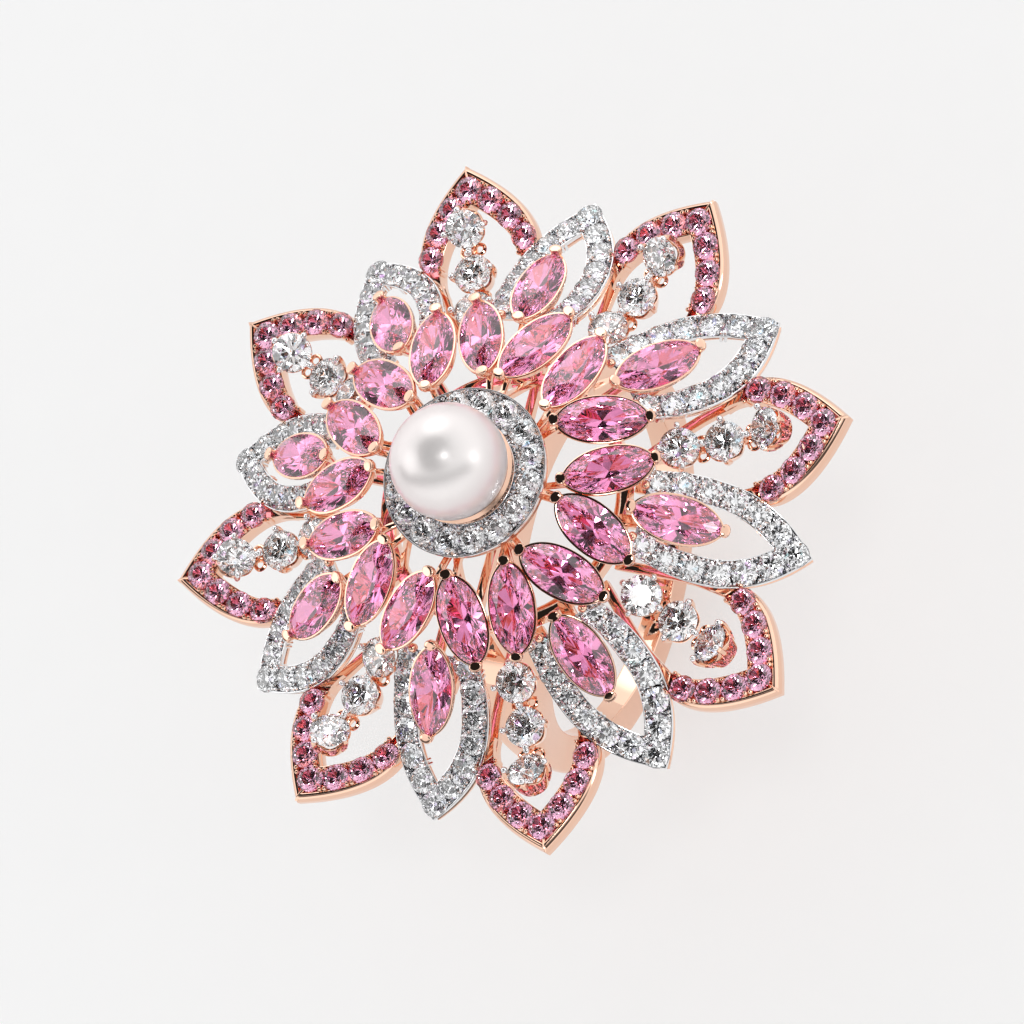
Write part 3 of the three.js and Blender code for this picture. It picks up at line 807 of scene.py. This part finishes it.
def makeWhitePetals():
    stones, beads = petalParts(whiteLeaf, whiteHeight)
    top = leafPart(whiteLeaf, armSection(whiteLeaf), whiteHeight)
    under = leafPart(whiteLeaf, armSection(whiteLeaf, "under"), whiteHeight)
    arms = np.array([1, -1])
    base = (leafEdge(whiteLeaf["inner"], arms) + leafEdge(whiteLeaf["outer"], arms)) / 2
    ends = placed(ballPart(whiteLeaf["end"], 9, 12),
                  surfaceFrames(base, whiteHeight, whiteLeaf["endLift"]))
    for i in range(petalCount):
        turn = turnedZ(i * petalTurn)
        number = i + 1
        putPiece(f"whitePetal{number}", [placed(part, turn) for part in (top, beads)], whiteGold,
                 [f"white_petal_{number}"])
        putPiece(f"whitePetalUnder{number}", [placed(part, turn) for part in (under, ends)], roseGold)
        putPiece(f"whitePetalStones{number}", [placed(stones, turn)], clearStone,
                 faceted=True)


def makePinkPetals():
    stones, beads = petalParts(pinkLeaf, pinkHeight)
    # beyond the last stones the arms carry a polished recess, and a short ridge marks the mitre at the tip
    parts = [leafPart(pinkLeaf, armSection(pinkLeaf), pinkHeight), beads]
    for side in (1, -1):
        parts.append(leafPart(pinkLeaf, armSection(pinkLeaf, "recess"), pinkHeight, 24,
                              (side * pinkLeaf["recessFrom"], side)))
    ridge = roundedPolygon(pinkLeaf["ridge"], edgeSoft, 3)
    ridgePath = [[x, 0, pinkHeight(x) - drop] for x, drop in pinkLeaf["ridgeDrops"]]
    parts.append(sweepPart(throughPoints(ridgePath, 12), ridge, upright))
    flat = roundedPolygon(pinkLeaf["strutSection"], pinkLeaf["strutSoft"], 3)
    for side in (1, -1):
        path = throughPoints(np.array(pinkLeaf["strut"]) * [1, side, 1], 30)
        parts.append(sweepPart(path, flat, upright))
    for i in range(petalCount):
        turn = turnedZ((i + 0.5) * petalTurn)
        number = i + 1
        putPiece(f"pinkPetal{number}", [placed(part, turn) for part in parts], roseGold,
                 [f"pink_petal_{number}"])
        putPiece(f"pinkPetalStones{number}", [placed(stones, turn)], paleStone, faceted=True)


makeWhitePetals()
makePinkPetals()
print("petals made")


# trio heads
# heads: distance out, height and outward lean in degrees of each stone
trioValues = {"radius": 0.96, "heads": ((9.52, 12.95, -20), (11.53, 12.38, -4), (13.68, 12.8, 30)),
              "ball": 0.165, "ballOut": 0.05, "ballHeight": 0.22, "prong": 0.13,
              "prongFoot": (0.64, -1.12), "prongKnee": (0.97, -0.5), "prongOut": 0.12, "prongIn": 0.03,
              "prongTop": 0.24, "base": -1.2, "wallTop": -0.22, "wave": 0.12, "loop": 0.26, "loopWire": 0.1,
              "loopSide": 0.34, "loopHeight": 0.3, "bar": 0.14, "barHeight": 0.1,
              "wallRadii": (0.58, 0.72, 0.86, 0.97, 0.985, 0.96, 0.86, 0.74, 0.5),
              "wallShares": (0, 0.06, 0.45, 0.9, 0.97, 1, 0.98, 0.5, 0)}


def basketWall():
    # cup that widens upwards; its top edge is the wall height plus a cosine wave that rises to each prong
    turn = np.linspace(0, 2 * math.pi, 64, endpoint=False)[:, None]
    radius, share = np.array(trioValues["wallRadii"]), np.array(trioValues["wallShares"])
    height = trioValues["base"] + share * (trioValues["wallTop"] - trioValues["base"]
                                           + trioValues["wave"] * np.cos(4 * turn))
    return gridPart(np.stack([radius * np.cos(turn), radius * np.sin(turn), height], -1), True, True)


def makeTrios():
    balls, baskets, stones, feet = [], [], [], []
    radius = trioValues["radius"]
    ballShape = ballPart(trioValues["ball"], 9, 12)
    (footX, footZ), (kneeX, kneeZ) = trioValues["prongFoot"], trioValues["prongKnee"]
    prongPath = [[footX, 0, footZ], [kneeX, 0, kneeZ], [radius + trioValues["prongOut"], 0, 0.0],
                 [radius + trioValues["prongIn"], 0, trioValues["prongTop"]]]
    prong = wirePart(throughPoints(prongPath, 12), trioValues["prong"], (0, 1, 0), 8)
    ballAt = np.eye(4)
    ballAt[:3, 3] = (radius + trioValues["ballOut"], 0, trioValues["ballHeight"])
    for along, height, lean in trioValues["heads"]:
        c, s = math.cos(math.radians(-lean)), math.sin(math.radians(-lean))
        head = np.array([[c, 0, s, along], [0, 1, 0, 0], [-s, 0, c, height], [0, 0, 0, 1]], float)
        turns = np.stack([head @ turnedZ(i * math.pi / 2) for i in range(4)])
        stones.append(placed(roundStone(radius, 32), head))
        baskets += [placed(basketWall(), head), placed(prong, turns)]
        balls.append(placed(ballShape, turns @ ballAt))
        feet.append((head @ np.array([0, 0, trioValues["base"] + trioValues["barHeight"], 1]))[:3])
    # the heads are linked by a bar and a small open loop under their prongs
    loop = lathePart(circle(trioValues["loopWire"], 8) + [trioValues["loop"], 0], 24)
    for i in range(2):
        baskets.append(wirePart(np.linspace(feet[i], feet[i + 1], 14), trioValues["bar"], (0, 1, 0)))
        for side in (1, -1):
            loopAt = np.eye(4)
            aside = [0, side * trioValues["loopSide"], trioValues["loopHeight"]]
            loopAt[:3, 3] = (feet[i] + feet[i + 1]) / 2 + aside
            baskets.append(placed(loop, loopAt))
    for i in range(petalCount):
        turn = turnedZ((i + 0.5) * petalTurn)
        number = i + 1
        putPiece(f"trioBaskets{number}", [placed(part, turn) for part in baskets], roseGold,
                 [f"trio_setting_{number}"])
        putPiece(f"trioProngTips{number}", [placed(part, turn) for part in balls], whiteGold)
        putPiece(f"trioStones{number}", [placed(part, turn) for part in stones], clearStone,
                 faceted=True)


makeTrios()
print("trio heads made")


# gallery
galleryValues = {"ring": 6.1, "width": 0.66, "bottom": 10.95, "depth": 0.75, "ringSoft": 0.1, "hub": 3.2,
                 "hubWidth": 0.5, "hubHeight": 15.1, "footX": 5.85, "footY": 0.95, "footDrop": 0.2,
                 "footEnd": (6.95, 7.6), "wire": 0.3, "soft": 0.08, "barShare": 0.8, "barDrop": 0.4,
                 "armEnd": 9.6, "armUnder": 1.35, "armDrop": 0.3, "spokeShare": 0.55,
                 "spoke": ([5.2, 0, 12.9], [4.1, 0, 14.5])}


def makeGallery():
    # a ring under the petals with two pairs of feet and a bar, a hub under the pearl, and an arm and a spoke
    # behind every white petal
    values = galleryValues
    ring, half = values["ring"], values["width"] / 2
    hub, hubHalf, hubHeight = values["hub"], values["hubWidth"] / 2, values["hubHeight"]
    hubLow, hubTop = hubHeight - hubHalf, hubHeight + hubHalf
    bottom, top = values["bottom"], values["bottom"] + values["depth"]
    ringSection = [[ring - half, bottom], [ring + half, bottom], [ring + half, top], [ring - half, top]]
    hubSection = [[hub - hubHalf, hubLow], [hub + hubHalf, hubLow], [hub + hubHalf, hubTop],
                  [hub - hubHalf, hubTop]]
    parts = [lathePart(roundedPolygon(ringSection, values["ringSoft"], 4), 128),
             lathePart(roundedPolygon(hubSection, values["soft"], 4), 96)]
    wire = values["wire"]
    flat = roundedPolygon([[-wire, -wire], [wire, -wire], [wire, wire], [-wire, wire]], values["soft"], 4)
    footX, footY, footTop = values["footX"], values["footY"], top - values["footDrop"]
    endX, endZ = values["footEnd"]
    for side in (1, -1):
        for y in (footY, -footY):
            path = np.linspace([side * footX, y, footTop], [side * endX, y, endZ], 8)
            parts.append(sweepPart(path, flat, level))
    barHeight = top - values["barDrop"]
    bar = np.linspace([-ring, 0, barHeight], [ring, 0, barHeight], 8)
    parts.append(sweepPart(bar, flat * values["barShare"], level))
    armEnd, armTop = values["armEnd"], top - values["armDrop"]
    armPath = np.linspace([ring, 0, armTop], [armEnd, 0, whiteHeight(armEnd) - values["armUnder"]], 10)
    arm = sweepPart(armPath, flat, level)
    spokePath = throughPoints([[ring, 0, armTop], *values["spoke"], [hub, 0, hubHeight]], 16)
    spoke = sweepPart(spokePath, flat * values["spokeShare"], level)
    for i in range(petalCount):
        turn = turnedZ(i * petalTurn)
        parts += [placed(arm, turn), placed(spoke, turn)]
    putPiece("gallery", parts, roseGold, ["gallery_frame"])


makeGallery()
print("gallery made")


# floor, light and camera
studioValues = {"azimuth": -22.45, "elevation": 62.0, "roll": -55.2, "distance": 221.7,
                "target": (-0.58, -0.76, 12.0), "lens": 164.0, "sensor": 36, "clip": (0.01, 5), "paper": 0.87,
                "walls": 1.3, "ceiling": 0.95, "ceilingFrom": 0.35, "ceilingTo": 0.95,
                "mattLow": 1.25, "mattHigh": 0.6, "mattFrom": 0.2, "mattTo": 0.9, "bounces": 10}
# each card: middle of it as a direction, angle where it is full, angle where it has gone, brightness;
# a black flag overhead with a lamp near its edge, two big soft boxes, and a small lamp low in front
studioCards = [((-0.02, 0.10, 0.99), 33, 36, 0.02), ((-0.04, -0.29, 0.96), 3, 6, 14.0),
               ((0.75, 0.35, 0.55), 14, 24, 2.2), ((-0.30, 0.75, 0.55), 12, 22, 1.9),
               ((0.20, -0.94, 0.28), 4, 9, 5.0)]
# one long black strip on the left wall: the normal of its plane, the middle of it, and its brightness;
# full and gone are distances from the plane, ends is how far it faces its middle where it stops and is full
studioStrip = {"normal": (0.588, 0.216, 0.779), "middle": (-0.71, 0.04, 0.70), "brightness": 0.1,
               "full": 0.08, "gone": 0.24, "ends": (0.0, 0.4)}
floorValues = {"reach": 900, "rings": 12, "sides": 64, "glow": 0.40, "shade": 0.54, "grain": 0.98,
               "grainScale": 400, "roughness": 0.9}


def makeFloor():
    # a flat disc of rings just under the band; it glows a little, which keeps it pale and its shadow faint
    low = cadBox[0].z / mm
    rings = np.linspace(0, floorValues["reach"], floorValues["rings"])[:, None]
    angle = np.linspace(0, 2 * math.pi, floorValues["sides"], endpoint=False)[None]
    points = np.stack([rings * np.cos(angle), rings * np.sin(angle), low * np.ones_like(rings * angle)], -1)
    spots, corners = welded(gridPart(points, loopColumns=True))
    mesh = bpy.data.meshes.new("floor")
    mesh.from_pydata((spots * mm).tolist(), [], corners)
    material = bpy.data.materials.new("paleFloor")
    tree, shader = nodeTree(material)
    place = addNode(tree, "ShaderNodeTexCoord")
    paper = addNode(tree, "ShaderNodeTexNoise")
    paper.inputs["Scale"].default_value = floorValues["grainScale"]
    tone = addNode(tree, "ShaderNodeMix", data_type="RGBA")
    tone.inputs["A"].default_value = (floorValues["shade"],) * 3 + (1,)
    tone.inputs["B"].default_value = (floorValues["shade"] * floorValues["grain"],) * 3 + (1,)
    linkAll(tree,
            (place.outputs["Object"], paper.inputs["Vector"]),
            (paper.outputs["Fac"], tone.inputs["Factor"]),
            (tone.outputs["Result"], shader.inputs["Base Color"]))
    shader.inputs["Roughness"].default_value = floorValues["roughness"]
    shader.inputs["Specular IOR Level"].default_value = 0
    shader.inputs["Emission Color"].default_value = (1, 1, 1, 1)
    shader.inputs["Emission Strength"].default_value = floorValues["glow"]
    mesh.materials.append(material)
    floor = bpy.data.objects.new("floor", mesh)
    bpy.context.scene.collection.objects.link(floor)


def facing(tree, direction, way):
    # cosine of the angle between the direction looked in and the given way
    dot = addNode(tree, "ShaderNodeVectorMath", operation="DOT_PRODUCT")
    dot.inputs[1].default_value = way
    tree.links.new(direction, dot.inputs[0])
    return dot.outputs["Value"]


def fade(tree, value, start, end, ease="SMOOTHSTEP", fromTo=(0, 1)):
    # goes from one number to another while the value goes from start to end
    span = addNode(tree, "ShaderNodeMapRange", interpolation_type=ease)
    span.inputs["From Min"].default_value, span.inputs["From Max"].default_value = start, end
    span.inputs["To Min"].default_value, span.inputs["To Max"].default_value = fromTo
    tree.links.new(value, span.inputs["Value"])
    return span.outputs["Result"]


def cardMask(tree, direction, middle, full, gone):
    # 1 inside the full angle from the middle direction, easing to 0 at the gone angle
    cosine = facing(tree, direction, Vector(middle).normalized())
    return fade(tree, cosine, math.cos(math.radians(gone)), math.cos(math.radians(full)))


def stripMask(tree, direction):
    # 1 close to the strip's plane on the strip's own side, and 0 away from it
    absolute = addNode(tree, "ShaderNodeMath", operation="ABSOLUTE")
    tree.links.new(facing(tree, direction, studioStrip["normal"]), absolute.inputs[0])
    near = fade(tree, absolute.outputs[0], studioStrip["full"], studioStrip["gone"], fromTo=(1, 0))
    side = fade(tree, facing(tree, direction, studioStrip["middle"]), *studioStrip["ends"])
    both = addNode(tree, "ShaderNodeMath", operation="MULTIPLY")
    linkAll(tree, (near, both.inputs[0]), (side, both.inputs[1]))
    return both.outputs[0]


def mixed(tree, factor, a, b):
    # a and b are sockets or plain greys
    blend = addNode(tree, "ShaderNodeMix", data_type="RGBA")
    for name, value in (("Factor", factor), ("A", a), ("B", b)):
        if isinstance(value, bpy.types.NodeSocket):
            tree.links.new(value, blend.inputs[name])
        else:
            blend.inputs[name].default_value = (value,) * 3 + (1,)
    return blend.outputs["Result"]


def makeWorld():
    world = bpy.data.worlds.new("studio")
    bpy.context.scene.world = world
    world.use_nodes = True
    tree = world.node_tree
    direction = addNode(tree, "ShaderNodeTexCoord").outputs["Generated"]
    split = addNode(tree, "ShaderNodeSeparateXYZ")
    tree.links.new(direction, split.inputs[0])
    # one room for every piece: bright walls and a softer ceiling, then the strip and the cards
    upper = fade(tree, split.outputs["Z"], studioValues["ceilingFrom"], studioValues["ceilingTo"])
    light = mixed(tree, upper, studioValues["walls"], studioValues["ceiling"])
    light = mixed(tree, stripMask(tree, direction), light, studioStrip["brightness"])
    for middle, full, gone, brightness in studioCards:
        light = mixed(tree, cardMask(tree, direction, middle, full, gone), light, brightness)
    # matt surfaces are lit by a plain gradient, and behind the ring there is plain paper
    upper = fade(tree, split.outputs["Z"], studioValues["mattFrom"], studioValues["mattTo"], "LINEAR")
    soft = mixed(tree, upper, studioValues["mattLow"], studioValues["mattHigh"])
    rays = addNode(tree, "ShaderNodeLightPath")
    light = mixed(tree, rays.outputs["Is Diffuse Ray"], light, soft)
    light = mixed(tree, rays.outputs["Is Camera Ray"], light, studioValues["paper"])
    tree.links.new(light, tree.nodes["Background"].inputs["Color"])


def makeCamera():
    # looks at the target from an azimuth and elevation, turned by the roll about its own axis
    camera = bpy.data.cameras.new("camera")
    camera.lens, camera.sensor_width = studioValues["lens"], studioValues["sensor"]
    camera.clip_start, camera.clip_end = studioValues["clip"]
    holder = bpy.data.objects.new("camera", camera)
    bpy.context.scene.collection.objects.link(holder)
    azimuth, elevation = math.radians(studioValues["azimuth"]), math.radians(studioValues["elevation"])
    back = Vector((math.sin(azimuth) * math.cos(elevation), -math.cos(azimuth) * math.cos(elevation),
                   math.sin(elevation)))
    place = Vector(studioValues["target"]) + back * studioValues["distance"]
    straight = (-back).to_track_quat("-Z", "Y").to_matrix().to_4x4()
    holder.matrix_world = (Matrix.Translation(place * mm)
                           @ straight @ Matrix.Rotation(math.radians(studioValues["roll"]), 4, "Z"))
    bpy.context.scene.camera = holder


makeFloor()
makeWorld()
makeCamera()
bpy.context.scene.view_settings.view_transform = "Standard"
bpy.context.scene.cycles.glossy_bounces = studioValues["bounces"]
print("studio made")
